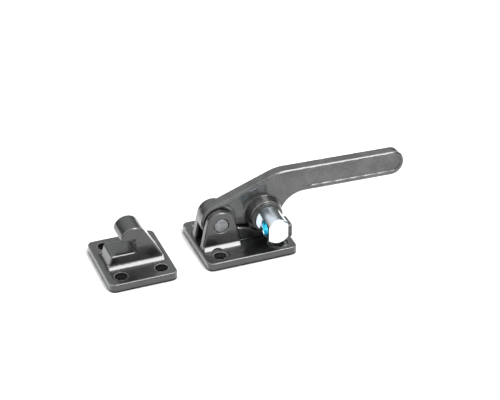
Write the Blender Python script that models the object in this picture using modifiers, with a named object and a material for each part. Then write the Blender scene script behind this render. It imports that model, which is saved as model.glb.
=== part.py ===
"""Heavy forged lever latch: a base bracket with a cranked lever that carries a cross bar, and its hook catch.

Metres, +Z up. The origin is the centre of the base plate's mounting face. +X runs from the hook catch towards
the grip, and the lever's pivot and the cross bar turn about axes along Y. The lever is drawn closed.
"""

import math

import bmesh
import bpy
from mathutils import Vector

# ---------------------------------------------------------------- driving dimensions
CLEARANCE = 0.0003            # gap between pieces that touch or turn in each other

PLATE_WIDTH = 0.056           # both plates, along Y
PLATE_THICKNESS = 0.006
PLATE_CORNER_RADIUS = 0.004
PLATE_EDGE_RADIUS = 0.0008
BASE_LENGTH = 0.064
CATCH_LENGTH = 0.047
PLATE_GAP = 0.021             # between the two plates when the latch is closed
SCREW_HOLE_DIAMETER = 0.009   # for M8
BASE_HOLE_INSET_X = 0.0112    # hole centres, from the plate's edges
CATCH_HOLE_INSET_X = 0.0096
HOLE_INSET_Y = 0.0088
CATCH_HOLE_SHIFT = 0.0004     # the catch's four holes sit this much nearer the base
SPOTFACE_DIAMETER = 0.014
SPOTFACE_DEPTH = 0.0005

PIVOT_X = -0.0165
PIVOT_HEIGHT = 0.0227
PIN_DIAMETER = 0.010
BUSH_WALL = 0.002
EAR_THICKNESS = 0.0057
EAR_TOP_RADIUS = 0.0102
EAR_FRONT_DRAFT = 11.5        # degrees from upright, on the catch side
EAR_REAR_DRAFT = 12.5
EAR_EDGE_BEVEL = 0.0007
FOOT_FILLET_LEG = 0.0030      # how far it reaches up the wall and out on the plate
FOOT_FILLET_RADIUS = 0.0095   # much larger than the leg, so that it is a slightly hollow slope

SPINE_HALF_WIDTH = 0.0067     # the rib that the closed lever lies on
RAMP_HEIGHT = 0.0162          # where the rib begins, beside the hub
RAMP_SLOPE = 11.0             # degrees
TONGUE_LENGTH = 0.0050        # how far the rib runs past the plate
TONGUE_CORNER_RADIUS = 0.0015

HUB_RADIUS = 0.012
HUB_HALF_WIDTH = 0.00475
WEB_HALF_WIDTH = 0.0035
GRIP_HALF_WIDTH = 0.0042
CROSS_BAR_OFFSET = 0.0325     # from the pivot along X, lever closed
CROSS_BAR_RISE = 0.0005
BELLY_RADIUS = 0.0132
BOSS_RADIUS = 0.0112          # at its two ends
BOSS_ROOT_RADIUS = 0.0128
BOSS_HALF_WIDTH = 0.0105
BOSS_ROOT_FILLET = 0.0009
ARM_SLOPE = 20.4              # degrees, the arm's upper edge
GRIP_DROP = 1.6               # degrees, the grip falls away from the crank
GRIP_HEIGHT = 0.0184
GRIP_UNDERSIDE_X = 0.046      # where the grip's underside begins
GRIP_UNDERSIDE_HEIGHT = 0.0329
LEVER_REACH = 0.1206          # grip's end, from the origin
CRANK_RADIUS = 0.030
THROAT_RADIUS = 0.0177        # the hollow between belly and grip
LEVER_EDGE_WIDTH = 0.0010
ARM_RIM = 0.0032              # above the arm's sunk panel
ARM_PANEL_END = 0.0050        # past the cross bar's axis, where the panel has run out
ARM_PANEL_RAMP = 0.0120       # length over which it runs out
GRIP_RIM_TOP = 0.0019
GRIP_RIM_BOTTOM = 0.0034
GRIP_PANEL_START = 0.0051     # before the grip's underside
GRIP_PANEL_RAMP = 0.0120      # length over which the grip's panel sinks to its depth

CROSS_BAR_DIAMETER = 0.018
CROSS_BAR_FLATS = 0.0136      # across the two flats
CROSS_BAR_NEAR_END = 0.032    # from the middle of the lever to the drilled end
CROSS_BAR_FAR_END = 0.0145    # to the plain end, just past the far ring
FLAT_START = 0.0142           # from the middle of the lever
ROD_HOLE_DIAMETER = 0.011     # for an M10 rod
ROD_HOLE_OFFSET = 0.0246
RING_OUTER_DIAMETER = 0.0218
RING_THICKNESS = 0.0015
RING_GROOVE_DEPTH = 0.0009
RING_OPENING = 0.004
RING_EDGE_CHAMFER = 0.0003

HOOK_HALF_WIDTH = 0.009
HOOK_NOSE_RADIUS = 0.0092
HOOK_NOSE_HEIGHT = 0.0341
HOOK_NOSE_INSET = 0.0138      # nose's tip, from the plate's free end
HOOK_REAR_SLOPE = 61.0        # degrees from level
LEDGE_HEIGHT = 0.0152
LEDGE_INSET = 0.0071
LEDGE_DRAFT = 19.0
THROAT_TOP = 0.0248
THROAT_DEPTH = 0.0097         # from the nose's tip to the throat's wall
NOSE_LIP_RADIUS = 0.0015
HOOK_EDGE_BEVEL = 0.0007

STEPS_ROUND = 48              # sides of a full circle
PLATE_EMBED = 0.0015          # how far the forged features reach down into their plate
OVERLAP = 0.00005             # how far a fillet's edges run into what it joins

# ---------------------------------------------------------------- places worked out from them
BASE_END = BASE_LENGTH / 2
CATCH_CENTRE = -BASE_LENGTH / 2 - PLATE_GAP - CATCH_LENGTH / 2
PIVOT = Vector((PIVOT_X, PIVOT_HEIGHT))
CROSS_BAR = PIVOT + Vector((CROSS_BAR_OFFSET, CROSS_BAR_RISE))
EAR_INNER = HUB_HALF_WIDTH + CLEARANCE
EAR_OUTER = EAR_INNER + EAR_THICKNESS


# ---------------------------------------------------------------- outlines in a flat plane
def arc(centre, radius, start, end, steps=None):
    """Points along an arc, angles in degrees."""
    count = steps or max(2, round(abs(end - start) / 360 * STEPS_ROUND))
    angles = [math.radians(start + (end - start) * i / count) for i in range(count + 1)]
    return [Vector((centre[0] + radius * math.cos(a), centre[1] + radius * math.sin(a))) for a in angles]


def rounded(corners, steps=4):
    """A polygon with each corner (x, y, radius) rounded by its own radius."""
    points = []
    for i, (x, y, radius) in enumerate(corners):
        here = Vector((x, y))
        before = (Vector(corners[i - 1][:2]) - here).normalized()
        after = (Vector(corners[(i + 1) % len(corners)][:2]) - here).normalized()
        if radius == 0:
            points.append(here)
            continue
        half = before.angle(after) / 2
        centre = here + (before + after).normalized() * radius / math.sin(half)
        start = here + before * radius / math.tan(half) - centre
        end = here + after * radius / math.tan(half) - centre
        sweep = start.angle_signed(end)
        for step in range(steps + 1):
            turn = -sweep * step / steps
            points.append(centre + Vector((
                start.x * math.cos(turn) - start.y * math.sin(turn),
                start.x * math.sin(turn) + start.y * math.cos(turn),
            )))
    return points


def heading(angle):
    """The unit vector at an angle in degrees."""
    return Vector((math.cos(math.radians(angle)), math.sin(math.radians(angle))))


def angle_of(vector):
    """A vector's angle, 0 to 360 degrees."""
    return math.degrees(math.atan2(vector.y, vector.x)) % 360


def first_crossing(point, angle, centre, radius):
    """Where a line that starts outside a circle first meets it."""
    offset = point - centre
    along = offset.dot(heading(angle))
    return point + heading(angle) * (-along - math.sqrt(along ** 2 - offset.length_squared + radius ** 2))


def lines_cross(point_a, angle_a, point_b, angle_b):
    """Where two lines cross."""
    across = heading(angle_b).orthogonal()
    return point_a + heading(angle_a) * ((point_b - point_a).dot(across) / heading(angle_a).dot(across))


# ---------------------------------------------------------------- modelling helpers
def material(name, colour, roughness, metallic):
    made = bpy.data.materials.new(name)
    made.use_nodes = True
    shader = made.node_tree.nodes["Principled BSDF"]
    shader.inputs["Base Color"].default_value = (*colour, 1)
    shader.inputs["Roughness"].default_value = roughness
    shader.inputs["Metallic"].default_value = metallic
    return made


def new_object(name, mesh, collection):
    mesh.shade_smooth()
    mesh.set_sharp_from_angle(angle=math.radians(35))
    made = bpy.data.objects.new(name, mesh)
    collection.objects.link(made)
    if collection is TOOLS:
        made.hide_render = True
        made.display_type = "WIRE"
    return made


def slab(name, points, low, high, collection, plane="XZ"):
    """An outline filled and extruded from low to high: across Y for an XZ outline, up Z for an XY one."""
    curve = bpy.data.curves.new(name, "CURVE")
    curve.dimensions = "2D"
    curve.fill_mode = "BOTH"
    curve.extrude = (high - low) / 2
    spline = curve.splines.new("POLY")
    spline.points.add(len(points) - 1)
    for point, place in zip(spline.points, points):
        point.co = (place[0], place[1], 0, 1)
    spline.use_cyclic_u = True
    outline = bpy.data.objects.new(name + "_outline", curve)
    bpy.context.scene.collection.objects.link(outline)
    if plane == "XZ":
        outline.rotation_euler = (math.pi / 2, 0, 0)
        outline.location = (0, (low + high) / 2, 0)
    else:
        outline.location = (0, 0, (low + high) / 2)
    bpy.context.view_layer.update()
    evaluated = outline.evaluated_get(bpy.context.evaluated_depsgraph_get())
    mesh = bpy.data.meshes.new_from_object(evaluated)
    mesh.transform(outline.matrix_world)
    bpy.data.objects.remove(outline)
    welded = bmesh.new()
    welded.from_mesh(mesh)
    bmesh.ops.remove_doubles(welded, verts=welded.verts, dist=1e-6)
    bmesh.ops.dissolve_limit(welded, angle_limit=0.01, verts=welded.verts, edges=welded.edges)
    bmesh.ops.recalc_face_normals(welded, faces=welded.faces)
    welded.to_mesh(mesh)
    welded.free()
    return new_object(name, mesh, collection)


def turned(name, profile, centre, collection, steps=STEPS_ROUND):
    """A turned piece about an axis along Y: (radius, y) pairs that run from the high end down the outside."""
    mesh = bpy.data.meshes.new(name)
    closed = profile[0][0] > 0
    edges = [(i, i + 1) for i in range(len(profile) - 1)]
    if closed:
        edges.append((len(profile) - 1, 0))
    mesh.from_pydata([(radius, 0, along) for radius, along in profile], edges, [])
    made = new_object(name, mesh, collection)
    made.location = (centre[0], 0, centre[1])
    made.rotation_euler = (-math.pi / 2, 0, 0)
    screw = made.modifiers.new("turn", "SCREW")
    screw.steps = steps
    screw.render_steps = steps
    screw.use_merge_vertices = True
    screw.merge_threshold = 0.00001
    screw.use_smooth_shade = True
    return made


def round_bar(name, radius, low, high, centre, collection, chamfer=0.0):
    """A cylinder about an axis along Y, its ends chamfered where a chamfer is given."""
    sides = [(radius, high - chamfer), (radius, low + chamfer)]
    if chamfer:
        sides = [(radius - chamfer, high), *sides, (radius - chamfer, low)]
    return turned(name, [(0, high), *sides, (0, low)], centre, collection)


def upright_cutter(name, radius, low, high, x, y):
    """A cylinder up Z that cuts a hole."""
    mesh = bpy.data.meshes.new(name)
    drawn = bmesh.new()
    bmesh.ops.create_cone(
        drawn, cap_ends=True, segments=STEPS_ROUND // 2, radius1=radius, radius2=radius, depth=high - low)
    bmesh.ops.translate(drawn, verts=drawn.verts, vec=(x, y, (low + high) / 2))
    drawn.to_mesh(mesh)
    drawn.free()
    return new_object(name, mesh, TOOLS)


def cross_cutter(name, radius, y, centre):
    """A cylinder along X that cuts the rod's hole through the cross bar."""
    mesh = bpy.data.meshes.new(name)
    drawn = bmesh.new()
    length = CROSS_BAR_DIAMETER * 2
    bmesh.ops.create_cone(
        drawn, cap_ends=True, segments=STEPS_ROUND // 3 * 2, radius1=radius, radius2=radius, depth=length)
    drawn.to_mesh(mesh)
    drawn.free()
    made = new_object(name, mesh, TOOLS)
    made.rotation_euler = (0, math.pi / 2, 0)
    made.location = (centre[0], y, centre[1])
    return made


def combine(target, other, operation):
    step = target.modifiers.new(operation.lower() + "_" + other.name, "BOOLEAN")
    step.operation = operation
    step.object = other
    step.solver = "EXACT"


def bevel(target, width, segments, angle=40):
    step = target.modifiers.new("edges", "BEVEL")
    step.width = width
    step.segments = segments
    step.limit_method = "ANGLE"
    step.angle_limit = math.radians(angle)


# ---------------------------------------------------------------- forged plates and their feet
def rounded_plate(name, low_x, high_x, collection):
    half = PLATE_WIDTH / 2
    corners = [(low_x, -half), (high_x, -half), (high_x, half), (low_x, half)]
    outline = rounded([(x, y, PLATE_CORNER_RADIUS) for x, y in corners])
    plate = slab(name, outline, 0, PLATE_THICKNESS, collection, plane="XY")
    bevel(plate, PLATE_EDGE_RADIUS, 2)
    return plate


def foot_fillet(name, low_x, high_x, face_y, side):
    """The hollow fillet where a wall that faces along Y stands on its plate."""
    inside = face_y - PLATE_EMBED
    buried = PLATE_THICKNESS - PLATE_EMBED / 2
    corner = Vector((face_y - OVERLAP, PLATE_THICKNESS - OVERLAP))
    half_chord = FOOT_FILLET_LEG / math.sqrt(2)
    centre = corner + heading(45) * (half_chord + math.sqrt(FOOT_FILLET_RADIUS ** 2 - half_chord ** 2))
    half_angle = math.degrees(math.asin(half_chord / FOOT_FILLET_RADIUS))
    hollow = arc(centre, FOOT_FILLET_RADIUS, 225 + half_angle, 225 - half_angle, steps=4)
    section = [Vector((inside, buried)), Vector((hollow[0].x, buried)), *hollow]
    section.append(Vector((inside, hollow[-1].y)))
    fillet = slab(name, section, low_x, high_x, TOOLS, plane="XY")
    fillet.rotation_euler = (math.pi / 2, 0, math.pi / 2 * side)
    if side < 0:
        fillet.location.x = low_x + high_x
    return fillet


def screw_holes(plate, centre_x, half_spacing_x, spotface):
    """Four through holes on the corners of a rectangle, each with its spotface where there is one."""
    half_spacing_y = PLATE_WIDTH / 2 - HOLE_INSET_Y
    above = PLATE_THICKNESS * 2
    number = 0
    for side_x in (-1, 1):
        for side_y in (-1, 1):
            number += 1
            place = (centre_x + side_x * half_spacing_x, side_y * half_spacing_y)
            name = f"{plate.name}_screw_hole_{number}"
            combine(plate, upright_cutter(name, SCREW_HOLE_DIAMETER / 2, -above, above, *place), "DIFFERENCE")
            if spotface:
                floor = PLATE_THICKNESS - SPOTFACE_DEPTH
                seat = upright_cutter(f"{name}_seat", SPOTFACE_DIAMETER / 2, floor, above, *place)
                combine(plate, seat, "DIFFERENCE")


# ---------------------------------------------------------------- base bracket
def ear_outline():
    """An upright with a round top on the pivot, leaning flanks and its foot buried in the plate."""
    foot = PLATE_THICKNESS - PLATE_EMBED
    front = PIVOT + heading(180 - EAR_FRONT_DRAFT) * EAR_TOP_RADIUS
    rear = PIVOT + heading(EAR_REAR_DRAFT) * EAR_TOP_RADIUS
    front_run = (front.y - foot) * math.tan(math.radians(EAR_FRONT_DRAFT))
    rear_run = (rear.y - foot) * math.tan(math.radians(EAR_REAR_DRAFT))
    top = arc(PIVOT, EAR_TOP_RADIUS, EAR_REAR_DRAFT, 180 - EAR_FRONT_DRAFT)
    return [Vector((rear.x + rear_run, foot)), *top, Vector((front.x - front_run, foot))]


def spine_level():
    """Height of the rib's level part, just clear of the closed lever's belly."""
    return CROSS_BAR.y - BELLY_RADIUS - 2 * CLEARANCE


def spine_outline():
    """The rib under the closed lever: a ramp beside the hub, a hollow under the belly, then level."""
    foot = PLATE_THICKNESS - PLATE_EMBED
    start = PIVOT_X + HUB_RADIUS + 2 * CLEARANCE
    end = BASE_END - PLATE_EDGE_RADIUS
    clear = BELLY_RADIUS + 2 * CLEARANCE
    ramp_top = Vector((start, RAMP_HEIGHT))
    ramp_foot = first_crossing(ramp_top, -RAMP_SLOPE, CROSS_BAR, clear)
    hollow = arc(CROSS_BAR, clear, 270, angle_of(ramp_foot - CROSS_BAR))
    return [Vector((start, foot)), Vector((end, foot)), Vector((end, spine_level())), *hollow, ramp_top]


def build_base_bracket():
    bracket = rounded_plate("base_bracket", -BASE_END, BASE_END, PARTS)
    spine = slab("spine", spine_outline(), -SPINE_HALF_WIDTH, SPINE_HALF_WIDTH, TOOLS)
    bevel(spine, EAR_EDGE_BEVEL, 1)
    combine(bracket, spine, "UNION")
    tongue_low = BASE_END - TONGUE_LENGTH
    tongue_half = SPINE_HALF_WIDTH - CLEARANCE
    tongue_end = BASE_END + TONGUE_LENGTH
    corners = [(tongue_low, -1), (tongue_end, -1), (tongue_end, 1), (tongue_low, 1)]
    outline = rounded([(x, side * tongue_half, TONGUE_CORNER_RADIUS) for x, side in corners])
    tongue = slab("tongue", outline, 0, spine_level() - CLEARANCE, TOOLS, plane="XY")
    bevel(tongue, PLATE_EDGE_RADIUS, 2)
    combine(bracket, tongue, "UNION")
    ear_foot_low = PIVOT_X - EAR_TOP_RADIUS - FOOT_FILLET_LEG
    ear_foot_high = PIVOT_X + EAR_TOP_RADIUS + FOOT_FILLET_LEG
    for side, label in ((-1, "near"), (1, "far")):
        low, high = sorted((side * EAR_INNER, side * EAR_OUTER))
        ear = slab(f"ear_{label}", ear_outline(), low, high, TOOLS)
        bevel(ear, EAR_EDGE_BEVEL, 1)
        combine(bracket, ear, "UNION")
        fillet = foot_fillet(f"ear_foot_{label}", ear_foot_low, ear_foot_high, EAR_OUTER, side)
        combine(bracket, fillet, "UNION")
    reach = EAR_OUTER * 2
    bore = round_bar("pin_bore", PIN_DIAMETER / 2 + CLEARANCE, -reach, reach, PIVOT, TOOLS)
    combine(bracket, bore, "DIFFERENCE")
    screw_holes(bracket, 0, BASE_END - BASE_HOLE_INSET_X, spotface=True)
    bracket.data.materials.append(material("black_forging", (0.020, 0.021, 0.022), 0.42, 0.6))
    return bracket


# ---------------------------------------------------------------- lever
def lever_places():
    """The points and circles that the lever's outline runs through."""
    underside_start = Vector((GRIP_UNDERSIDE_X, GRIP_UNDERSIDE_HEIGHT))
    up = heading(90 - GRIP_DROP)
    throat = underside_start - up * THROAT_RADIUS
    rise = throat.y - CROSS_BAR.y
    throat.x = CROSS_BAR.x + math.sqrt((BELLY_RADIUS + THROAT_RADIUS) ** 2 - rise ** 2)
    mid = throat + up * (THROAT_RADIUS + GRIP_HEIGHT / 2)
    reach = (LEVER_REACH - GRIP_HEIGHT / 2 - mid.x) / heading(-GRIP_DROP).x
    tip = mid + heading(-GRIP_DROP) * reach
    arm_edge = PIVOT + heading(90 + ARM_SLOPE) * HUB_RADIUS
    crank = lines_cross(arm_edge, ARM_SLOPE, tip + up * GRIP_HEIGHT / 2, -GRIP_DROP)
    return throat, tip, crank


def lever_outline():
    """Counter-clockwise from under the hub: belly, throat, grip, crank and arm, back round the hub."""
    throat, tip, crank = lever_places()
    underside = Vector((PIVOT_X + HUB_RADIUS, RAMP_HEIGHT + CLEARANCE * 2))
    belly_start = first_crossing(underside, -RAMP_SLOPE, CROSS_BAR, BELLY_RADIUS)
    hub_end = first_crossing(underside, 180 - RAMP_SLOPE, PIVOT, HUB_RADIUS)
    touch = angle_of(throat - CROSS_BAR)
    belly = arc(CROSS_BAR, BELLY_RADIUS, angle_of(belly_start - CROSS_BAR), touch)
    hollow = arc(throat, THROAT_RADIUS, touch - 180, 90 - GRIP_DROP)[1:]
    grip_end = arc(tip, GRIP_HEIGHT / 2, -90 - GRIP_DROP, 90 - GRIP_DROP)
    bend = ARM_SLOPE + GRIP_DROP
    setback = CRANK_RADIUS * math.tan(math.radians(bend / 2))
    crank_centre = crank + heading(ARM_SLOPE + 180) * setback + heading(ARM_SLOPE - 90) * CRANK_RADIUS
    bend_arc = arc(crank_centre, CRANK_RADIUS, 90 - GRIP_DROP, 90 + ARM_SLOPE, steps=6)
    hub = arc(PIVOT, HUB_RADIUS, 90 + ARM_SLOPE, angle_of(hub_end - PIVOT))
    return [*belly, *hollow, *grip_end, *bend_arc, *hub]


def lever_plan():
    """Half the lever's thickness along X: it tapers from the hub to the grip."""
    return [(PIVOT_X + HUB_RADIUS, HUB_HALF_WIDTH), (GRIP_UNDERSIDE_X, GRIP_HALF_WIDTH)]


def arm_floor():
    """Half the thickness between the arm's sunk panels, which run out towards the crank."""
    end = CROSS_BAR.x + ARM_PANEL_END
    return [(end - ARM_PANEL_RAMP, WEB_HALF_WIDTH), (end, HUB_HALF_WIDTH)]


def grip_floor():
    """Half the thickness between the grip's sunk panels, which begin gently after the crank."""
    start = GRIP_UNDERSIDE_X - GRIP_PANEL_START
    return [(start, HUB_HALF_WIDTH), (start + GRIP_PANEL_RAMP, WEB_HALF_WIDTH)]


def taper(blank, plan):
    """Presses a slab that ends at the hub's half width to the half thickness of plan, (x, half thickness) pairs."""
    evaluated = blank.evaluated_get(bpy.context.evaluated_depsgraph_get())
    mesh = bpy.data.meshes.new_from_object(evaluated)
    blank.modifiers.clear()
    pressed = bmesh.new()
    pressed.from_mesh(mesh)
    for x, _ in plan:
        everything = [*pressed.verts, *pressed.edges, *pressed.faces]
        bmesh.ops.bisect_plane(pressed, geom=everything, plane_co=(x, 0, 0), plane_no=(1, 0, 0), dist=1e-7)
    for vertex in pressed.verts:
        x = min(max(vertex.co.x, plan[0][0]), plan[-1][0])
        for (low_x, low), (high_x, high) in zip(plan, plan[1:]):
            if low_x <= x <= high_x:
                half = low + (high - low) * (x - low_x) / (high_x - low_x)
                vertex.co.y *= half / HUB_HALF_WIDTH
                break
    pressed.to_mesh(mesh)
    pressed.free()
    blank.data = mesh


def arm_pocket_outline():
    """The sunk panel between hub, upper rim and cross bar, open at the lever's lower edge."""
    rim = PIVOT + heading(90 + ARM_SLOPE) * (HUB_RADIUS - ARM_RIM)
    hub_clear = HUB_RADIUS + CLEARANCE
    end_x = CROSS_BAR.x + ARM_PANEL_END
    corner = lines_cross(rim, ARM_SLOPE, Vector((end_x, 0)), 90)
    start = rim + heading(ARM_SLOPE) * math.sqrt(hub_clear ** 2 - (HUB_RADIUS - ARM_RIM) ** 2)
    low = PIVOT.y - HUB_RADIUS * 2
    hub_side = arc(PIVOT, hub_clear, angle_of(start - PIVOT), -50)
    return [start, *hub_side[1:], Vector((hub_side[-1].x, low)), Vector((end_x, low)), corner]


def grip_pocket_outline():
    """The sunk panel of the grip: rims above, below and round the end, open towards the crank."""
    _, tip, _ = lever_places()
    up = heading(90 - GRIP_DROP)
    along = heading(-GRIP_DROP)
    radius = (GRIP_HEIGHT - GRIP_RIM_TOP - GRIP_RIM_BOTTOM) / 2
    middle = tip + up * (GRIP_RIM_BOTTOM - GRIP_RIM_TOP) / 2
    end = arc(middle, radius, -90 - GRIP_DROP, 90 - GRIP_DROP)
    open_x = GRIP_UNDERSIDE_X - GRIP_PANEL_START
    lip_radius = GRIP_RIM_BOTTOM / 2
    lip_x = GRIP_UNDERSIDE_X + lip_radius
    top = end[-1] - along * ((end[-1].x - open_x) / along.x)
    lip = end[0] - along * ((end[0].x - lip_x) / along.x)
    low = GRIP_UNDERSIDE_HEIGHT - GRIP_HEIGHT
    lip_rounding = arc(lip + Vector((lip_radius, -lip_radius)), lip_radius, 180, 90, steps=3)
    return [*end, top, Vector((open_x, low)), Vector((lip_x, low)), *lip_rounding]


def build_lever():
    """The forged lever: its tapered blank, sunk panels, the cross bar's boss and the two bores."""
    lever = slab("lever", lever_outline(), -HUB_HALF_WIDTH, HUB_HALF_WIDTH, PARTS)
    bevel(lever, LEVER_EDGE_WIDTH, 1)
    taper(lever, lever_plan())
    pockets = ((arm_pocket_outline(), arm_floor(), "arm"), (grip_pocket_outline(), grip_floor(), "grip"))
    for outline, floor, label in pockets:
        for side in (-1, 1):
            low, high = sorted((side * HUB_HALF_WIDTH, side * HUB_HALF_WIDTH * 2))
            pocket = slab(f"{label}_pocket_{side}", outline, low, high, TOOLS)
            taper(pocket, floor)
            combine(lever, pocket, "DIFFERENCE")
    reach = BOSS_HALF_WIDTH * 2
    hub_bore = PIN_DIAMETER / 2 + 2 * CLEARANCE + BUSH_WALL
    combine(lever, round_bar("hub_bore", hub_bore, -reach, reach, PIVOT, TOOLS), "DIFFERENCE")
    root = WEB_HALF_WIDTH - CLEARANCE
    flare = BOSS_ROOT_RADIUS + BOSS_ROOT_FILLET
    fillet = arc((flare, root + CLEARANCE + BOSS_ROOT_FILLET), BOSS_ROOT_FILLET, 180, 270, steps=3)
    upper = [(0, BOSS_HALF_WIDTH), (BOSS_RADIUS - CLEARANCE, BOSS_HALF_WIDTH)]
    upper += [(BOSS_RADIUS, BOSS_HALF_WIDTH - CLEARANCE), *[tuple(point) for point in fillet], (flare, root)]
    profile = upper + [(radius, -along) for radius, along in reversed(upper)]
    combine(lever, turned("cross_bar_boss", profile, CROSS_BAR, TOOLS), "UNION")
    bore = CROSS_BAR_DIAMETER / 2 + CLEARANCE
    combine(lever, round_bar("cross_bar_bore", bore, -reach, reach, CROSS_BAR, TOOLS), "DIFFERENCE")
    lever.data.materials.append(material("black_lever", (0.028, 0.029, 0.029), 0.38, 0.6))
    return lever


# ---------------------------------------------------------------- pin, bush, cross bar and its rings
def build_pivot_pin():
    pin = round_bar("pivot_pin", PIN_DIAMETER / 2, -EAR_OUTER, EAR_OUTER, PIVOT, PARTS, chamfer=CLEARANCE)
    pin.data.materials.append(material("pin_steel", (0.16, 0.16, 0.17), 0.35, 0.9))
    return pin


def build_pivot_bush():
    inner = PIN_DIAMETER / 2 + CLEARANCE
    outer = inner + BUSH_WALL
    half = HUB_HALF_WIDTH
    bush = turned("pivot_bush", [(inner, half), (outer, half), (outer, -half), (inner, -half)], PIVOT, PARTS)
    bush.data.materials.append(material("bush_steel", (0.30, 0.29, 0.28), 0.4, 1.0))
    return bush


def build_cross_bar():
    """A round bar with a groove for each ring, its near end cut to two flats and drilled for the rod."""
    radius = CROSS_BAR_DIAMETER / 2
    chamfer = CLEARANCE * 2
    groove_start = BOSS_HALF_WIDTH
    groove_end = groove_start + RING_THICKNESS + 2 * CLEARANCE
    root = radius - RING_GROOVE_DEPTH
    halves = []
    for end in (CROSS_BAR_FAR_END, CROSS_BAR_NEAR_END):
        half = [(0, end), (radius - chamfer, end), (radius, end - chamfer), (radius, groove_end)]
        halves.append(half + [(root, groove_end), (root, groove_start), (radius, groove_start)])
    far, near = halves
    profile = far + [(r, -along) for r, along in reversed(near)]
    bar = turned("cross_bar", profile, CROSS_BAR, PARTS)
    flat = CROSS_BAR_FLATS / 2
    low_y, high_y = -CROSS_BAR_NEAR_END * 2, -FLAT_START
    low, high = CROSS_BAR.y - radius * 2, CROSS_BAR.y + radius * 2
    for side in (-1, 1):
        low_x, high_x = sorted((CROSS_BAR.x + side * flat, CROSS_BAR.x + side * radius * 2))
        outline = [(low_x, low_y), (high_x, low_y), (high_x, high_y), (low_x, high_y)]
        combine(bar, slab(f"flat_{side}", outline, low, high, TOOLS, plane="XY"), "DIFFERENCE")
    hole = cross_cutter("rod_hole", ROD_HOLE_DIAMETER / 2, -ROD_HOLE_OFFSET, CROSS_BAR)
    combine(bar, hole, "DIFFERENCE")
    bar.data.materials.append(material("zinc_plate", (0.62, 0.66, 0.70), 0.22, 1.0))
    return bar


def build_ring(side, label):
    """A split ring in the bar's groove that keeps the bar from sliding out of the lever."""
    low = BOSS_HALF_WIDTH + CLEARANCE
    high = low + RING_THICKNESS
    inner = CROSS_BAR_DIAMETER / 2 - RING_GROOVE_DEPTH + CLEARANCE
    outer = RING_OUTER_DIAMETER / 2
    soft = RING_EDGE_CHAMFER
    section = [(inner, high), (outer - soft, high), (outer, high - soft)]
    section += [(outer, low + soft), (outer - soft, low), (inner, low)]
    if side < 0:
        section = [(radius, -along) for radius, along in reversed(section)]
    ring = turned(f"retaining_ring_{label}", section, CROSS_BAR, PARTS)
    half = RING_OPENING / 2
    x, below = CROSS_BAR.x, CROSS_BAR.y - CROSS_BAR_DIAMETER
    corners = [(x - half, below), (x + half, below), (x + half, CROSS_BAR.y), (x - half, CROSS_BAR.y)]
    opening = slab(f"ring_opening_{label}", corners, -high * 2, high * 2, TOOLS)
    combine(ring, opening, "DIFFERENCE")
    ring.data.materials.append(material(f"ring_steel_{label}", (0.24, 0.24, 0.23), 0.35, 1.0))
    return ring


# ---------------------------------------------------------------- hook catch
def hook_outline():
    """Ledge, throat, round nose and the long rear slope, with its foot buried in the plate."""
    foot = PLATE_THICKNESS - PLATE_EMBED
    free_end = CATCH_CENTRE - CATCH_LENGTH / 2
    tip_x = free_end + HOOK_NOSE_INSET
    nose = Vector((tip_x + HOOK_NOSE_RADIUS, HOOK_NOSE_HEIGHT - HOOK_NOSE_RADIUS))
    wall_x = tip_x + THROAT_DEPTH
    slope_top = nose + heading(90 - HOOK_REAR_SLOPE) * HOOK_NOSE_RADIUS
    slope_foot = lines_cross(slope_top, -HOOK_REAR_SLOPE, Vector((0, foot)), 0)
    lip_rise = THROAT_TOP + NOSE_LIP_RADIUS - nose.y
    lip_turn = 180 - math.degrees(math.asin(lip_rise / (HOOK_NOSE_RADIUS - NOSE_LIP_RADIUS)))
    lip = nose + heading(lip_turn) * (HOOK_NOSE_RADIUS - NOSE_LIP_RADIUS)
    nose_arc = arc(nose, HOOK_NOSE_RADIUS, 90 - HOOK_REAR_SLOPE, lip_turn)
    lip_arc = arc(lip, NOSE_LIP_RADIUS, lip_turn, 270, steps=4)[1:]
    ledge = Vector((free_end + LEDGE_INSET, LEDGE_HEIGHT))
    ledge_foot = Vector((ledge.x - (ledge.y - foot) * math.tan(math.radians(LEDGE_DRAFT)), foot))
    throat = [Vector((wall_x, THROAT_TOP)), Vector((wall_x, LEDGE_HEIGHT))]
    return [slope_foot, *nose_arc, *lip_arc, *throat, ledge, ledge_foot]


def build_hook_catch():
    low_x = CATCH_CENTRE - CATCH_LENGTH / 2
    high_x = CATCH_CENTRE + CATCH_LENGTH / 2
    catch = rounded_plate("hook_catch", low_x, high_x, PARTS)
    hook = slab("hook", hook_outline(), -HOOK_HALF_WIDTH, HOOK_HALF_WIDTH, TOOLS)
    bevel(hook, HOOK_EDGE_BEVEL, 1)
    combine(catch, hook, "UNION")
    inset = PLATE_CORNER_RADIUS
    for side, label in ((-1, "near"), (1, "far")):
        fillet = foot_fillet(f"hook_foot_{label}", low_x + inset, high_x - inset, HOOK_HALF_WIDTH, side)
        combine(catch, fillet, "UNION")
    half_spacing = CATCH_LENGTH / 2 - CATCH_HOLE_INSET_X
    screw_holes(catch, CATCH_CENTRE + CATCH_HOLE_SHIFT, half_spacing, spotface=False)
    catch.data.materials.append(material("black_catch", (0.022, 0.023, 0.024), 0.42, 0.6))
    return catch


# ---------------------------------------------------------------- the whole latch
def clear_scene():
    for item in list(bpy.data.objects):
        bpy.data.objects.remove(item)


def hang_on_axis(name, centre, pieces):
    """An empty on a joint's axis that carries the pieces which turn about it."""
    axis = bpy.data.objects.new(name, None)
    PARTS.objects.link(axis)
    axis.location = (centre.x, 0, centre.y)
    axis.rotation_euler = (math.pi / 2, 0, 0)
    bpy.context.view_layer.update()
    for piece in pieces:
        piece.parent = axis
        piece.matrix_parent_inverse = axis.matrix_world.inverted()
    return axis


clear_scene()
PARTS = bpy.data.collections.new("lever_latch")
TOOLS = bpy.data.collections.new("cutters_and_guides")
for group in (PARTS, TOOLS):
    bpy.context.scene.collection.children.link(group)
TOOLS.hide_render = True

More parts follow.
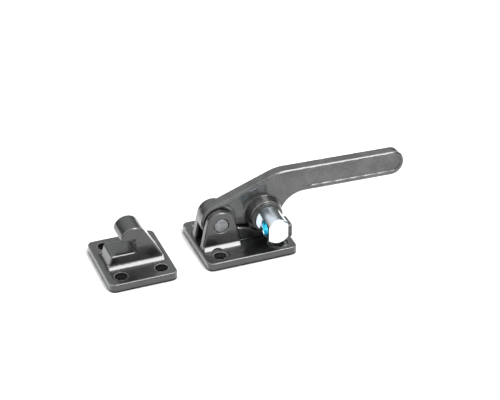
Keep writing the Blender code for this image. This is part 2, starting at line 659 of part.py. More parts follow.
build_base_bracket()
build_pivot_pin()
lever_pieces = [build_lever(), build_pivot_bush()]
bar_pieces = [build_cross_bar(), build_ring(-1, "near"), build_ring(1, "far")]
build_hook_catch()
lever_axis = hang_on_axis("lever_axis", PIVOT, lever_pieces)
bar_axis = hang_on_axis("cross_bar_axis", CROSS_BAR, bar_pieces)
bar_axis.parent = lever_axis
bar_axis.matrix_parent_inverse = lever_axis.matrix_world.inverted()
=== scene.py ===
"""The finished look of a forged lever latch and its hook catch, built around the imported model.

Metres, +Z up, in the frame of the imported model. The forged pieces get a soft, slightly uneven skin, the
turned ones are made again with fine edges, and each has its own procedural finish.
"""

import logging
import math
from dataclasses import dataclass
from enum import Enum
from typing import Any, Sequence

import bmesh
import bpy
from mathutils import Matrix, Vector


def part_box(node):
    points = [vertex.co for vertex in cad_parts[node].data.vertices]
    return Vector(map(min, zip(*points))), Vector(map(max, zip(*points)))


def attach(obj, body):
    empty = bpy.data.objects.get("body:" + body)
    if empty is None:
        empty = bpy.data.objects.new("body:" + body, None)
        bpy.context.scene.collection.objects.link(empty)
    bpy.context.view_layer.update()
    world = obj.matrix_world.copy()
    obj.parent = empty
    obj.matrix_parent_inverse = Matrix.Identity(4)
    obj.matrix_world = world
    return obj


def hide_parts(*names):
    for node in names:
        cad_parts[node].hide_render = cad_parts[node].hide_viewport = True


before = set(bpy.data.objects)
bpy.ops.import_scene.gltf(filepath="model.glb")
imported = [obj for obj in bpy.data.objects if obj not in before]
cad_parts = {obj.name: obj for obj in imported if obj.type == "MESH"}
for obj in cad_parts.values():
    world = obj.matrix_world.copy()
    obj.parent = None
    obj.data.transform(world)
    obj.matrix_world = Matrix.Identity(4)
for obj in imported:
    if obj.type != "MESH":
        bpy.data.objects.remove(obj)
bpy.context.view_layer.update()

Pair = tuple[float, float]
Triple = tuple[float, float, float]
Colour = Triple

LOG = logging.getLogger("latch")
SAME_POINT = 1e-6             # points nearer than this are one point, in metres
TOOL_SEGMENTS = 72            # sides of a round cutting tool
OPENNESS_RAYS = 6             # rays that each look at how open the surroundings are takes


class Body(Enum):
    """The moving bodies of the latch."""

    BASE = "base"
    HANDLE = "handle"
    BAR = "bar"
    CATCH = "catch"


class Side(Enum):
    """The two sides of the lever, along Y."""

    NEAR = -1
    FAR = 1

    @property
    def label(self) -> str:
        """The side's word in the names of pieces."""
        return self.name.lower()


# ---------------------------------------------------------------- shader maths
class Number:
    """A socket that carries one value. Arithmetic on it adds Math nodes to its material."""

    def __init__(self, bench: "Bench", socket: bpy.types.NodeSocket) -> None:
        """Wraps a socket.

        Args:
            bench: the bench whose node tree holds the socket.
            socket: an output socket that carries a value.
        """
        self.bench = bench
        self.socket = socket

    def _join(self, operation: str, *operands: "Number | float") -> "Number":
        """Adds one Math node.

        Args:
            operation: the Math node's operation.
            *operands: its inputs, in order.

        Returns:
            The node's result.
        """
        node = self.bench.add("ShaderNodeMath", {"operation": operation}, dict(enumerate(operands)))
        return Number(self.bench, node.outputs[0])

    def __add__(self, other: "Number | float") -> "Number":
        """This value plus another."""
        return self._join("ADD", self, other)

    def __radd__(self, other: float) -> "Number":
        """A plain number plus this value."""
        return self._join("ADD", other, self)

    def __sub__(self, other: "Number | float") -> "Number":
        """This value minus another."""
        return self._join("SUBTRACT", self, other)

    def __rsub__(self, other: float) -> "Number":
        """A plain number minus this value."""
        return self._join("SUBTRACT", other, self)

    def __mul__(self, other: "Number | float") -> "Number":
        """This value times another."""
        return self._join("MULTIPLY", self, other)

    def __rmul__(self, other: float) -> "Number":
        """A plain number times this value."""
        return self._join("MULTIPLY", other, self)

    def __pow__(self, other: float) -> "Number":
        """This value to a power."""
        return self._join("POWER", self, other)

    def sine(self) -> "Number":
        """The sine of this value, in radians."""
        return self._join("SINE", self)

    def ease(self, low: float, high: float) -> "Number":
        """A soft step.

        Args:
            low: the value where the step is still 0.
            high: the value where it reaches 1. It may be below low, and the step then falls.

        Returns:
            The step, from 0 to 1.
        """
        inputs = {"Value": self, "From Min": low, "From Max": high}
        node = self.bench.add("ShaderNodeMapRange", {"interpolation_type": "SMOOTHSTEP"}, inputs)
        return Number(self.bench, node.outputs["Result"])


class Bench:
    """The node tree of one material or world, with short ways to add and join nodes."""

    def __init__(self, tree: bpy.types.NodeTree) -> None:
        """Starts on a tree that holds its default nodes."""
        self.tree = tree

    def add(self, kind: str, settings: dict[str, Any], inputs: dict[Any, Any]) -> bpy.types.Node:
        """Adds one node.

        Args:
            kind: the node's type.
            settings: its properties, set first. "stops" holds a ramp's (position, colour) pairs.
            inputs: values or links for its sockets, by name or by number.

        Returns:
            The new node.
        """
        node = self.tree.nodes.new(kind)
        for name, value in settings.items():
            if name == "stops":
                self._set_stops(node, value)
            else:
                setattr(node, name, value)
        for key, value in inputs.items():
            self.feed(node.inputs[key], value)
        return node

    @staticmethod
    def _set_stops(ramp: bpy.types.Node, stops: Sequence[tuple[float, Colour]]) -> None:
        """Sets a colour ramp's stops.

        Args:
            ramp: the ramp's node.
            stops: (position, colour) pairs, in order.
        """
        elements = ramp.color_ramp.elements
        while len(elements) < len(stops):
            elements.new(1.0)
        for element, (position, colour) in zip(elements, stops):
            element.position = position
            element.color = (*colour, 1.0)

    def feed(self, socket: bpy.types.NodeSocket, value: Any) -> None:
        """Gives a socket its link or its value.

        Args:
            socket: the input socket.
            value: a Number, an output socket, a colour or a plain value.
        """
        if isinstance(value, Number):
            self.tree.links.new(value.socket, socket)
        elif isinstance(value, bpy.types.NodeSocket):
            self.tree.links.new(value, socket)
        elif isinstance(value, tuple) and socket.type == "RGBA":
            socket.default_value = (*value, 1.0)
        else:
            socket.default_value = value

    def place(self) -> bpy.types.NodeSocket:
        """The point's position in the piece's own coordinates, in metres."""
        return self.add("ShaderNodeTexCoord", {}, {}).outputs["Object"]

    def facing(self) -> bpy.types.NodeSocket:
        """The way the surface faces, in the piece's own coordinates."""
        return self.add("ShaderNodeTexCoord", {}, {}).outputs["Normal"]

    def axes(self, vector: bpy.types.NodeSocket) -> tuple[Number, Number, Number]:
        """The x, y and z of a vector."""
        split = self.add("ShaderNodeSeparateXYZ", {}, {"Vector": vector})
        return tuple(Number(self, out) for out in split.outputs)

    def stretched(self, vector: bpy.types.NodeSocket, scale: Triple) -> bpy.types.NodeSocket:
        """A vector with each of its parts multiplied."""
        inputs = {0: vector, 1: scale}
        return self.add("ShaderNodeVectorMath", {"operation": "MULTIPLY"}, inputs).outputs[0]

    def noise(
        self, vector: bpy.types.NodeSocket, size: float, detail: float = 2.0, roughness: float = 0.5
    ) -> Number:
        """Soft noise.

        Args:
            vector: the position it is read at.
            size: the width of its largest blots, in the vector's units.
            detail: how many finer layers it has.
            roughness: how strong the finer layers are.

        Returns:
            The noise, from 0 to 1.
        """
        inputs = {"Vector": vector, "Scale": 1.0 / size, "Detail": detail, "Roughness": roughness}
        return Number(self, self.add("ShaderNodeTexNoise", {}, inputs).outputs[0])

    def cells(self, vector: bpy.types.NodeSocket, size: float) -> Number:
        """The distance to the nearest of scattered points, in cells of a given size."""
        inputs = {"Vector": vector, "Scale": 1.0 / size}
        return Number(self, self.add("ShaderNodeTexVoronoi", {}, inputs).outputs["Distance"])

    def sharpness(self) -> Number:
        """High on edges that stand out, low in corners, a half on flat faces."""
        return Number(self, self.add("ShaderNodeNewGeometry", {}, {}).outputs["Pointiness"])

    def openness(self, reach: float) -> Number:
        """How open the surroundings are within a reach in metres: 1 on a free face, less in corners."""
        settings = {"samples": OPENNESS_RAYS}
        node = self.add("ShaderNodeAmbientOcclusion", settings, {"Distance": reach})
        return Number(self, node.outputs["AO"])

    def blend(self, share: Number, first: Any, second: Any) -> bpy.types.NodeSocket:
        """Mixes two colours.

        Args:
            share: how much of the second there is, from 0 to 1.
            first: a colour or a colour socket.
            second: a colour or a colour socket.

        Returns:
            The mixed colour.
        """
        node = self.add("ShaderNodeMix", {"data_type": "RGBA", "clamp_factor": True}, {})
        sockets = {s.identifier: s for s in node.inputs}
        self.feed(sockets["Factor_Float"], share)
        self.feed(sockets["A_Color"], first)
        self.feed(sockets["B_Color"], second)
        return next(out for out in node.outputs if out.identifier == "Result_Color")

    def relief(self, height: Number, depth: float, strength: float) -> bpy.types.NodeSocket:
        """A normal bent by a height.

        Args:
            height: the height, from 0 to 1.
            depth: what a height of 1 stands for, in metres.
            strength: how much of it is used.

        Returns:
            The bent normal.
        """
        inputs = {"Height": height, "Distance": depth, "Strength": strength}
        return self.add("ShaderNodeBump", {}, inputs).outputs["Normal"]


# ---------------------------------------------------------------- finishes
@dataclass(frozen=True)
class Finish:
    """A material of one Principled shader. Each kind of finish works out the shader's inputs."""

    name: str

    def make(self) -> bpy.types.Material:
        """Makes the material."""
        material = bpy.data.materials.new(self.name)
        material.use_nodes = True
        bench = Bench(material.node_tree)
        shader = material.node_tree.nodes["Principled BSDF"]
        for socket, value in self.inputs(bench).items():
            bench.feed(shader.inputs[socket], value)
        return material

    def inputs(self, bench: Bench) -> dict[str, Any]:
        """The shader's inputs.

        Args:
            bench: the material's bench.

        Returns:
            Values and links by the name of their socket.
        """
        raise NotImplementedError


@dataclass(frozen=True)
class ForgedBlack(Finish):
    """Black stoving finish on drop-forged steel: satin, with a fine grain and pits of scale.

    Edges that face upwards are lighter: edge wear and a painted highlight of the light from above. Corners
    that face inwards get painted shade, dark and dull.
    """

    deep: Colour = (0.0035, 0.0036, 0.0036)
    pale: Colour = (0.0105, 0.0108, 0.0104)
    # Colour of the lighter upper edges: edge wear and a painted highlight.
    rubbed_highlight: Colour = (0.34, 0.345, 0.34)
    blot_size: float = 0.011
    pit_size: float = 0.0017
    grain_size: float = 0.00055
    relief_depth: float = 0.00010
    relief_strength: float = 0.55
    roughness: float = 0.20
    specular: float = 0.55
    coat: float = 0.8
    coat_roughness: float = 0.09
    haze: float = 1.0
    haze_roughness: float = 0.20
    worn_from: float = 0.505
    worn_by: float = 0.555
    wear_and_highlight: float = 0.85
    # Painted shade in inward corners: its reach, its thresholds, and how dark, metallic and dull it makes
    # them.
    crease_reach: float = 0.0028
    crease_from: float = 0.84
    crease_by: float = 0.58
    crease_shade: float = 0.8
    shade_metal: float = 0.9
    crease_dullness: float = 0.35

    def inputs(self, bench: Bench) -> dict[str, Any]:
        """The shader's inputs, from blots, pits and grain, the worn edges with their painted highlight and
        the painted shade of the hollow corners.
        """
        place = bench.place()
        blots = bench.noise(place, self.blot_size, detail=3.0)
        pits = bench.noise(place, self.pit_size, detail=3.0, roughness=0.6)
        grain = bench.noise(place, self.grain_size, detail=1.0)
        _, _, up = bench.axes(bench.facing())
        worn = bench.sharpness().ease(self.worn_from, self.worn_by)
        # Partly edge wear and partly a painted highlight: only sharp edges that face upwards, towards the
        # light, get the lighter colour.
        edge = worn * pits.ease(0.20, 0.55) * up.ease(0.10, 0.45)
        # Painted shade: where close surroundings hide the sky, the colour darkens and turns to near-black
        # metal with no coat.
        painted_corner_shade = bench.openness(self.crease_reach).ease(self.crease_from, self.crease_by)
        tone = (blots * 0.6 + pits * 0.4).ease(0.32, 0.68) * (1 - painted_corner_shade * self.crease_shade)
        painted = bench.blend(tone, self.deep, self.pale)
        roughness = self.roughness + blots * 0.10 + grain * 0.12
        return {
            "Base Color": bench.blend(edge * self.wear_and_highlight, painted, self.rubbed_highlight),
            "Metallic": painted_corner_shade * self.shade_metal,
            "Roughness": roughness + painted_corner_shade * self.crease_dullness - edge * 0.06,
            "Normal": bench.relief(pits * 0.6 + grain * 0.4, self.relief_depth, self.relief_strength),
            "Specular IOR Level": self.specular,
            "Coat Weight": self.coat * (1 - painted_corner_shade),
            "Coat Roughness": self.coat_roughness,
            "Sheen Weight": self.haze,
            "Sheen Roughness": self.haze_roughness,
        }


@dataclass(frozen=True)
class ZincPlate(Finish):
    """Bright zinc with a clear blue passivation, over fine turning marks about an axis along Y.

    The inside of a bore along X, given by its y, z and radius, has a deeper colour.
    """

    bore: Triple
    cool: Colour = (0.66, 0.74, 0.82)
    warm: Colour = (0.80, 0.80, 0.77)
    inside: Colour = (0.36, 0.80, 0.90)
    bore_rim: float = 0.0004
    bore_wall: float = 0.0001
    blot_size: float = 0.009
    mark_spacing: float = 0.00028
    mark_stretch: Triple = (0.04, 1.0, 0.04)
    roughness: float = 0.11

    def inputs(self, bench: Bench) -> dict[str, Any]:
        """The shader's inputs, from blots, turning marks, spangle and the distance to the bore's axis."""
        place = bench.place()
        along = bench.stretched(place, self.mark_stretch)
        blots = bench.noise(place, self.blot_size, detail=2.0)
        marks = bench.noise(along, self.mark_spacing, detail=2.0, roughness=0.7)
        spangle = bench.cells(place, self.blot_size / 8)
        edge = bench.sharpness().ease(0.52, 0.60)
        _, y, z = bench.axes(place)
        bore_y, bore_z, bore_radius = self.bore
        from_axis = ((y - bore_y) ** 2 + (z - bore_z) ** 2) ** 0.5
        in_bore = from_axis.ease(bore_radius + self.bore_rim, bore_radius + self.bore_wall)
        outside = bench.blend(blots.ease(0.35, 0.70), self.cool, self.warm)
        return {
            "Base Color": bench.blend(in_bore, outside, self.inside),
            "Metallic": 1.0,
            "Roughness": self.roughness + marks * 0.08 + spangle * 0.05 + edge * 0.05,
            "Normal": bench.relief(marks * 0.7 + spangle * 0.3, self.mark_spacing / 20, 0.25),
        }


@dataclass(frozen=True)
class TurnedSteel(Finish):
    """Bare steel with fine rings cut about an axis along Y, such as a pin's end or a ring's face.

    The centre is the axis's x and z.
    """

    centre: Pair
    dark: Colour
    light: Colour
    ring_spacing: float = 0.00032
    blot_size: float = 0.0024
    roughness: float = 0.30
    metallic: float = 0.9

    def inputs(self, bench: Bench) -> dict[str, Any]:
        """The shader's inputs, from blots, the edges and the rings about the axis."""
        place = bench.place()
        x, y, z = bench.axes(place)
        radius = ((x - self.centre[0]) ** 2 + (z - self.centre[1]) ** 2) ** 0.5
        turns = ((radius + y) * (math.tau / self.ring_spacing)).sine() * 0.5 + 0.5
        blots = bench.noise(place, self.blot_size, detail=3.0)
        edge = bench.sharpness().ease(0.52, 0.62)
        tone = blots.ease(0.3, 0.7) * 0.7 + edge * 0.3
        return {
            "Base Color": bench.blend(tone, self.dark, self.light),
            "Metallic": self.metallic,
            "Roughness": self.roughness + blots * 0.12 + turns * 0.05,
            "Normal": bench.relief(turns, self.ring_spacing / 14, 0.35),
        }


@dataclass(frozen=True)
class PaleFloor(Finish):
    """A plain pale sheet with the faintest unevenness, with painted shade at the bottom of narrow holes and
    close along the parts' feet.
    """

    name: str = "pale_floor"
    colour: Colour = (0.90, 0.90, 0.90)
    shade: Colour = (0.88, 0.88, 0.88)
    # The colour of the painted shade in holes and tight corners, and how far it looks for cover.
    hole_shade: Colour = (0.01, 0.01, 0.01)
    hole_shade_reach: float = 0.010
    blot_size: float = 0.25

    def inputs(self, bench: Bench) -> dict[str, Any]:
        """The shader's inputs: painted shade darkens the sheet only where something close by hides most of
        the sky.
        """
        blots = bench.noise(bench.place(), self.blot_size)
        # Painted shade: the sheet turns near black where it is closed in, in holes and tight against the
        # parts.
        hidden = bench.openness(self.hole_shade_reach).ease(0.55, 0.40)
        return {
            "Base Color": bench.blend(hidden, bench.blend(blots, self.colour, self.shade), self.hole_shade),
            "Roughness": 0.9,
            "Specular IOR Level": 0.1,
        }


# ---------------------------------------------------------------- making meshes
def link_new(name: str, mesh: bpy.types.Mesh) -> bpy.types.Object:
    """Makes an object of a mesh and puts it in the scene."""
    made = bpy.data.objects.new(name, mesh)
    bpy.context.scene.collection.objects.link(made)
    return made


def mesh_of(name: str, drawn: bmesh.types.BMesh) -> bpy.types.Mesh:
    """Turns finished mesh work into a mesh with its normals outwards."""
    bmesh.ops.recalc_face_normals(drawn, faces=drawn.faces)
    mesh = bpy.data.meshes.new(name)
    drawn.to_mesh(mesh)
    drawn.free()
    return mesh


def settle(piece: bpy.types.Object) -> None:
    """Replaces a piece's mesh by what its modifiers make of it, and clears them."""
    bpy.context.view_layer.update()
    made = bpy.data.meshes.new_from_object(piece.evaluated_get(bpy.context.evaluated_depsgraph_get()))
    piece.modifiers.clear()
    piece.data = made


def add_step(piece: bpy.types.Object, kind: str, **settings: Any) -> None:
    """Adds a modifier.

    Args:
        piece: the piece it works on.
        kind: the modifier's type.
        **settings: its properties.
    """
    step = piece.modifiers.new(kind.lower(), kind)
    for name, value in settings.items():
        setattr(step, name, value)


def turned(name: str, section: Sequence[Pair], centre: Pair, segments: int) -> bpy.types.Object:
    """Turns a closed section about an axis along Y.

    Args:
        name: the piece's name.
        section: (radius, y) corners, once round the section. A radius of 0 lies on the axis.
        centre: the axis's x and z.
        segments: the number of sides.

    Returns:
        The turned piece.
    """
    drawn = bmesh.new()
    ring = [drawn.verts.new((centre[0] + radius, along, centre[1])) for radius, along in section]
    edges = [drawn.edges.new((a, b)) for a, b in zip(ring, ring[1:] + ring[:1])]
    bmesh.ops.spin(
        drawn,
        geom=ring + edges,
        cent=(centre[0], 0.0, centre[1]),
        axis=(0.0, 1.0, 0.0),
        angle=math.tau,
        steps=segments,
        use_merge=True,
    )
    bmesh.ops.remove_doubles(drawn, verts=drawn.verts, dist=SAME_POINT)
    bmesh.ops.dissolve_degenerate(drawn, edges=drawn.edges, dist=SAME_POINT / 10)
    loose = [edge for edge in drawn.edges if not edge.link_faces]
    bmesh.ops.delete(drawn, geom=loose, context="EDGES")
    return link_new(name, mesh_of(name, drawn))


def box_tool(name: str, low: Vector, high: Vector) -> bpy.types.Object:
    """A box that cuts, from its lowest to its highest corner."""
    drawn = bmesh.new()
    bmesh.ops.create_cube(drawn, size=1.0)
    bmesh.ops.scale(drawn, vec=high - low, verts=drawn.verts)
    bmesh.ops.translate(drawn, vec=(low + high) / 2, verts=drawn.verts)
    return link_new(name, mesh_of(name, drawn))


def round_tool(name: str, radii: Pair, depth: float, centre: Vector, axis: Vector) -> bpy.types.Object:
    """A cylinder or cone that cuts.

    Args:
        name: the tool's name.
        radii: its radius at the start and at the end of the axis.
        depth: its length.
        centre: its middle.
        axis: the way it points.

    Returns:
        The tool.
    """
    drawn = bmesh.new()
    bmesh.ops.create_cone(
        drawn, cap_ends=True, segments=TOOL_SEGMENTS, radius1=radii[0], radius2=radii[1], depth=depth
    )
    turn = axis.to_track_quat("Z", "Y").to_matrix().to_4x4()
    bmesh.ops.transform(drawn, matrix=Matrix.Translation(centre) @ turn, verts=drawn.verts)
    return link_new(name, mesh_of(name, drawn))


def cut(piece: bpy.types.Object, tools: Sequence[bpy.types.Object]) -> None:
    """Cuts tools out of a piece, one after the other, and removes them."""
    for tool in tools:
        add_step(piece, "BOOLEAN", operation="DIFFERENCE", object=tool, solver="EXACT")
    settle(piece)
    for tool in tools:
        bpy.data.objects.remove(tool)


def soften_edges(piece: bpy.types.Object, width: float, segments: int = 2, angle: float = 30.0) -> None:
    """Rounds a piece's sharp edges and smooths its shading.

    Args:
        piece: the piece.
        width: the rounding's width, in metres.
        segments: how many faces each rounding has.
        angle: the sharpest angle that stays as it is, in degrees.
    """
    add_step(
        piece, "BEVEL", width=width, segments=segments, limit_method="ANGLE",
        angle_limit=math.radians(angle), harden_normals=False,
    )
    settle(piece)
    piece.data.shade_smooth()
    piece.data.set_sharp_from_angle(angle=math.radians(angle))


@dataclass(frozen=True)
class ForgedSkin:
    """How a forging's exact shape is given the soft edges and the uneven skin of the hammer."""

    cell: float = 0.00030
    passes: int = 2
    wave_size: float = 0.007
    wave_height: float = 0.00007
    kept_share: float = 0.42

    def forge(self, node: str, name: str) -> bpy.types.Object:
        """Makes a forged piece.

        Args:
            node: the CAD node with its exact shape.
            name: the new piece's name.

        Returns:
            The piece, in place.
        """
        drawn = bmesh.new()
        drawn.from_mesh(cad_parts[node].data)
        bmesh.ops.remove_doubles(drawn, verts=drawn.verts, dist=SAME_POINT)
        piece = link_new(name, mesh_of(name, drawn))
        add_step(piece, "REMESH", mode="VOXEL", voxel_size=self.cell, use_smooth_shade=True)
        add_step(piece, "SMOOTH", factor=0.5, iterations=self.passes)
        waves = bpy.data.textures.new(f"{name}_waves", "CLOUDS")
        waves.noise_scale = self.wave_size
        waves.noise_depth = 2
        add_step(
            piece, "DISPLACE", texture=waves, texture_coords="LOCAL", strength=self.wave_height, mid_level=0.5
        )
        add_step(piece, "DECIMATE", ratio=self.kept_share)
        settle(piece)
        piece.data.shade_smooth()
        return piece


def axis_of(node: str) -> tuple[Pair, float]:
    """Where a round CAD node's axis along Y lies.

    Args:
        node: the CAD node.

    Returns:
        The axis's x and z, and the node's radius.
    """
    low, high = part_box(node)
    return ((low.x + high.x) / 2, (low.z + high.z) / 2), (high.z - low.z) / 2


def hand_over(
    piece: bpy.types.Object, finish: bpy.types.Material, body: Body, node: str
) -> bpy.types.Object:
    """Dresses a finished piece, puts it on its body and lets it stand for its CAD node.

    Args:
        piece: the piece, in place.
        finish: its material.
        body: the body that carries it.
        node: the CAD node that it stands for.

    Returns:
        The piece.
    """
    piece.data.materials.clear()
    piece.data.materials.append(finish)
    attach(piece, body.value)
    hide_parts(node)
    LOG.info("%s: %d faces, on %s", piece.name, len(piece.data.polygons), body.value)
    return piece


# ---------------------------------------------------------------- the latch's sub-assemblies
@dataclass
class BasePlate:
    """The forged base with its two ears and rib, and the pin through the ears."""

    skin: ForgedSkin
    pin_dome: float = 0.00018
    pin_chamfer: float = 0.00045
    pin_dimple: float = 0.0011
    dimple_depth: float = 0.00025
    pin_segments: int = 96
    pin_dark: Colour = (0.13, 0.133, 0.14)
    pin_light: Colour = (0.28, 0.285, 0.30)

    def build(self) -> list[bpy.types.Object]:
        """Builds the bracket and the pin."""
        return [self._bracket(), self._pin()]

    def _bracket(self) -> bpy.types.Object:
        """The forged bracket."""
        piece = self.skin.forge("base_bracket", "forged_base")
        finish = ForgedBlack("black_base").make()
        return hand_over(piece, finish, Body.BASE, "base_bracket")

    def _pin(self) -> bpy.types.Object:
        """The ground pin, slightly domed, with a centre mark in each end."""
        centre, radius = axis_of("pivot_pin")
        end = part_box("pivot_pin")[1].y
        half = [
            (0.0, end - self.dimple_depth),
            (self.pin_dimple * 0.3, end - self.dimple_depth),
            (self.pin_dimple, end),
            (radius * 0.6, end - self.pin_dome * 0.3),
            (radius - self.pin_chamfer, end - self.pin_dome),
            (radius, end - self.pin_dome - self.pin_chamfer),
        ]
        section = half + [(r, -along) for r, along in reversed(half)]
        piece = turned("ground_pin", section, centre, self.pin_segments)
        soften_edges(piece, self.pin_chamfer / 4)
        finish = TurnedSteel("pin_ends", centre, self.pin_dark, self.pin_light, metallic=0.5)
        return hand_over(piece, finish.make(), Body.BASE, "pivot_pin")


@dataclass
class Handle:
    """The forged lever and the bush in its hub."""

    skin: ForgedSkin
    bush_dark: Colour = (0.20, 0.15, 0.09)
    bush_light: Colour = (0.40, 0.31, 0.19)

    def build(self) -> list[bpy.types.Object]:
        """Builds the lever and dresses the bush."""
        return [self._lever(), self._bush()]

    def _lever(self) -> bpy.types.Object:
        """The forged lever."""
        piece = self.skin.forge("lever", "forged_lever")
        finish = ForgedBlack("black_handle", pale=(0.042, 0.043, 0.042), pit_size=0.0015).make()
        return hand_over(piece, finish, Body.HANDLE, "lever")

    def _bush(self) -> bpy.types.Object:
        """The plain bush, hidden between the ears, in its own metal."""
        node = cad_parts["pivot_bush"]
        centre, _ = axis_of("pivot_bush")
        finish = TurnedSteel("oiled_bush", centre, self.bush_dark, self.bush_light, metallic=1.0)
        node.data.materials.clear()
        node.data.materials.append(finish.make())
        LOG.info("pivot_bush: %d faces, on %s", len(node.data.polygons), Body.HANDLE.value)
        return node


@dataclass
class CrossBar:
    """The zinc-plated bar through the lever's boss and its two rings.

    Its near end has two flats and a hole for a rod. Its far end is plain.
    """

    flats: float = 0.0136
    flat_start: float = 0.0142
    rod_hole: float = 0.011
    rod_hole_offset: float = 0.0246
    hole_chamfer: float = 0.0006
    end_chamfer: float = 0.0009
    groove_depth: float = 0.0009
    edge: float = 0.00016
    segments: int = 128
    ring_play: float = 0.0003
    ring_groove: float = 0.00016
    ring_edge: float = 0.00025
    ring_opening: float = 0.004
    ring_dark: Colour = (0.035, 0.035, 0.034)
    ring_light: Colour = (0.11, 0.11, 0.105)

    def build(self) -> list[bpy.types.Object]:
        """Builds the bar and both rings."""
        return [self._bar(), *(self._ring(side) for side in Side)]

    def _bar(self) -> bpy.types.Object:
        """The bar: turned, flatted, drilled, then plated."""
        centre, radius = axis_of("cross_bar")
        low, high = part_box("cross_bar")
        near_end, far_end = -low.y, high.y
        ring_low, ring_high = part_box("retaining_ring_far")
        groove = (ring_low.y - self.ring_play, ring_high.y + self.ring_play)
        root = radius - self.groove_depth
        near, far = (
            [
                (0.0, end),
                (radius - self.end_chamfer, end),
                (radius, end - self.end_chamfer),
                (radius, groove[1]),
                (root, groove[1]),
                (root, groove[0]),
                (radius, groove[0]),
            ]
            for end in (near_end, far_end)
        )
        section = far + [(r, -along) for r, along in reversed(near)]
        piece = turned("plated_bar", section, centre, self.segments)
        cut(piece, self._tools(centre, radius, near_end))
        soften_edges(piece, self.edge)
        finish = ZincPlate("bright_zinc", (-self.rod_hole_offset, centre[1], self.rod_hole / 2))
        return hand_over(piece, finish.make(), Body.BAR, "cross_bar")

    def _tools(self, centre: Pair, radius: float, end: float) -> list[bpy.types.Object]:
        """What is cut from the turned bar.

        Args:
            centre: the bar's x and z.
            radius: its radius.
            end: how far its near end is from the lever.

        Returns:
            Two boxes for the flats, two countersinks and the drill.
        """
        flat = self.flats / 2
        hole = Vector((centre[0], -self.rod_hole_offset, centre[1]))
        tools = []
        for way in (-1, 1):
            low_x, high_x = sorted((centre[0] + way * flat, centre[0] + way * radius * 2))
            low = Vector((low_x, -end * 2, centre[1] - radius * 2))
            high = Vector((high_x, -self.flat_start, centre[1] + radius * 2))
            tools.append(box_tool(f"flat_{way}", low, high))
            axis = Vector((way, 0.0, 0.0))
            mouth = self.rod_hole / 2 + self.hole_chamfer
            radii = (mouth - self.hole_chamfer * 2, mouth + self.hole_chamfer)
            tools.append(round_tool(f"sink_{way}", radii, self.hole_chamfer * 3, hole + axis * flat, axis))
        drill = self.rod_hole / 2
        tools.append(round_tool("drill", (drill, drill), radius * 4, hole, Vector((1.0, 0.0, 0.0))))
        return tools

    def _ring(self, side: Side) -> bpy.types.Object:
        """A two-turn retaining ring, open below, with the line between its turns.

        Args:
            side: which end of the boss it sits at.

        Returns:
            The ring.
        """
        node = f"retaining_ring_{side.label}"
        low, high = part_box(node)
        centre, radius = axis_of("cross_bar")
        outer = high.z - centre[1]
        inner = radius - self.groove_depth + self.ring_play
        middle = (low.y + high.y) / 2
        soft = self.ring_edge
        line = self.ring_groove
        section = [
            (inner, low.y),
            (outer - soft, low.y),
            (outer, low.y + soft),
            (outer, middle - line),
            (outer - line * 1.5, middle),
            (outer, middle + line),
            (outer, high.y - soft),
            (outer - soft, high.y),
            (inner, high.y),
        ]
        piece = turned(f"split_ring_{side.label}", section, centre, self.segments)
        reach = outer * 2
        half = self.ring_opening / 2
        tool = box_tool(
            f"opening_{side.label}",
            Vector((centre[0] - half, low.y - reach, centre[1] - reach)),
            Vector((centre[0] + half, high.y + reach, centre[1])),
        )
        cut(piece, [tool])
        soften_edges(piece, soft / 4)
        slot = f"ring_steel_{side.label}"
        finish = TurnedSteel(slot, centre, self.ring_dark, self.ring_light, metallic=0.6)
        return hand_over(piece, finish.make(), Body.BAR, node)


@dataclass
class HookCatch:
    """The separate forged hook on its plate."""

    skin: ForgedSkin

    def build(self) -> list[bpy.types.Object]:
        """Builds the catch."""
        piece = self.skin.forge("hook_catch", "forged_catch")
        finish = ForgedBlack("black_hook").make()
        return [hand_over(piece, finish, Body.CATCH, "hook_catch")]


# ---------------------------------------------------------------- floor, light and camera
@dataclass(frozen=True)
class SoftBox:
    """A rectangle of soft white light that points at the latch."""

    name: str
    direction: Triple
    distance: float
    width: float
    height: float
    power: float

    def hang(self, target: Vector) -> None:
        """Hangs the light so that it faces a point."""
        data = bpy.data.lights.new(self.name, "AREA")
        data.shape = "RECTANGLE"
        data.size = self.width
        data.size_y = self.height
        data.energy = self.power
        lamp = bpy.data.objects.new(self.name, data)
        bpy.context.scene.collection.objects.link(lamp)
        way = Vector(self.direction).normalized()
        lamp.location = target + way * self.distance
        lamp.rotation_euler = way.to_track_quat("Z", "Y").to_euler()
        lamp.visible_camera = False


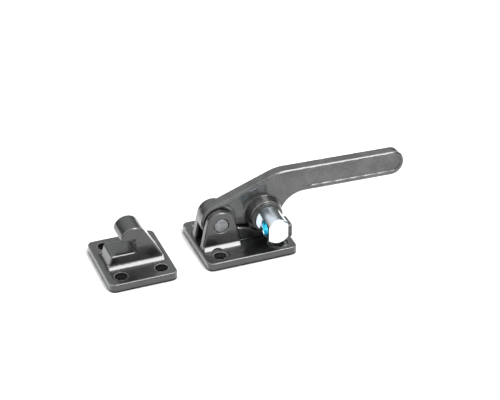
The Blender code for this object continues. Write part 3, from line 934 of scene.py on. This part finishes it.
@dataclass
class Studio:
    """A plain pale floor, soft light and the camera."""

    eye: Triple = (-0.3329, -0.8805, 0.6213)
    target: Triple = (0.008, 0.0, 0.0317)
    lens: float = 118.8
    sensor: float = 36.0
    floor_size: float = 12.0
    floor_drop: float = 0.0001
    boxes: tuple[SoftBox, ...] = (
        SoftBox("key_box", (0.31, -0.53, 0.79), 1.5, 0.66, 1.00, 27.0),
        SoftBox("left_box", (-0.9, 0.1, 0.45), 1.6, 0.7, 0.5, 4.0),
    )
    ground_light: float = 0.6
    sky_high: float = 1.45
    sky_middle: float = 0.95
    sky_low: float = 0.40
    sky_horizon: float = 0.02

    def build(self) -> None:
        """Sets up everything that isn't the latch."""
        self._floor()
        self._sky()
        self._lights()
        self._camera()
        bpy.context.scene.view_settings.view_transform = "Standard"

    def _floor(self) -> None:
        """The pale floor, just under the mounting faces."""
        drawn = bmesh.new()
        bmesh.ops.create_grid(drawn, x_segments=8, y_segments=8, size=self.floor_size / 2)
        bmesh.ops.translate(drawn, vec=(0.0, 0.0, -self.floor_drop), verts=drawn.verts)
        floor = link_new("floor", mesh_of("floor", drawn))
        floor.data.materials.append(PaleFloor().make())

    def _sky(self) -> None:
        """A grey sky with a dark band at the horizon, which the bright parts mirror.

        The stops run from straight down, 0, past the horizon, 0.5, to straight up, 1.
        """
        world = bpy.data.worlds.new("studio")
        bpy.context.scene.world = world
        world.use_nodes = True
        bench = Bench(world.node_tree)
        _, _, up = bench.axes(bench.add("ShaderNodeTexCoord", {}, {}).outputs["Generated"])
        stops = [
            (0.0, (self.ground_light,) * 3),
            (0.47, (self.sky_horizon,) * 3),
            (0.56, (self.sky_horizon * 2,) * 3),
            (0.66, (self.sky_low * 0.98, self.sky_low, self.sky_low)),
            (0.76, (self.sky_middle * 0.98, self.sky_middle, self.sky_middle * 1.01)),
            (1.0, (self.sky_high,) * 3),
        ]
        ramp = bench.add("ShaderNodeValToRGB", {"stops": stops}, {"Fac": up * 0.5 + 0.5})
        bench.feed(world.node_tree.nodes["Background"].inputs["Color"], ramp.outputs["Color"])

    def _lights(self) -> None:
        """A bright box above the front, and a weak one from the left."""
        for box in self.boxes:
            box.hang(Vector(self.target))

    def _camera(self) -> None:
        """The camera, aimed at the latch."""
        data = bpy.data.cameras.new("camera")
        data.lens = self.lens
        data.sensor_width = self.sensor
        data.clip_start = 0.01
        camera = bpy.data.objects.new("camera", data)
        bpy.context.scene.collection.objects.link(camera)
        camera.location = self.eye
        way = Vector(self.target) - Vector(self.eye)
        camera.rotation_euler = way.to_track_quat("-Z", "Y").to_euler()
        bpy.context.scene.camera = camera


def main() -> None:
    """Builds each sub-assembly in order, then the studio."""
    logging.basicConfig(level=logging.INFO, format="%(name)s %(message)s")
    skin = ForgedSkin()
    for assembly in (BasePlate(skin), Handle(skin), CrossBar(), HookCatch(skin)):
        pieces = assembly.build()
        LOG.info("%s: %d pieces", type(assembly).__name__, len(pieces))
    Studio().build()


if __name__ == "__main__":
    main()
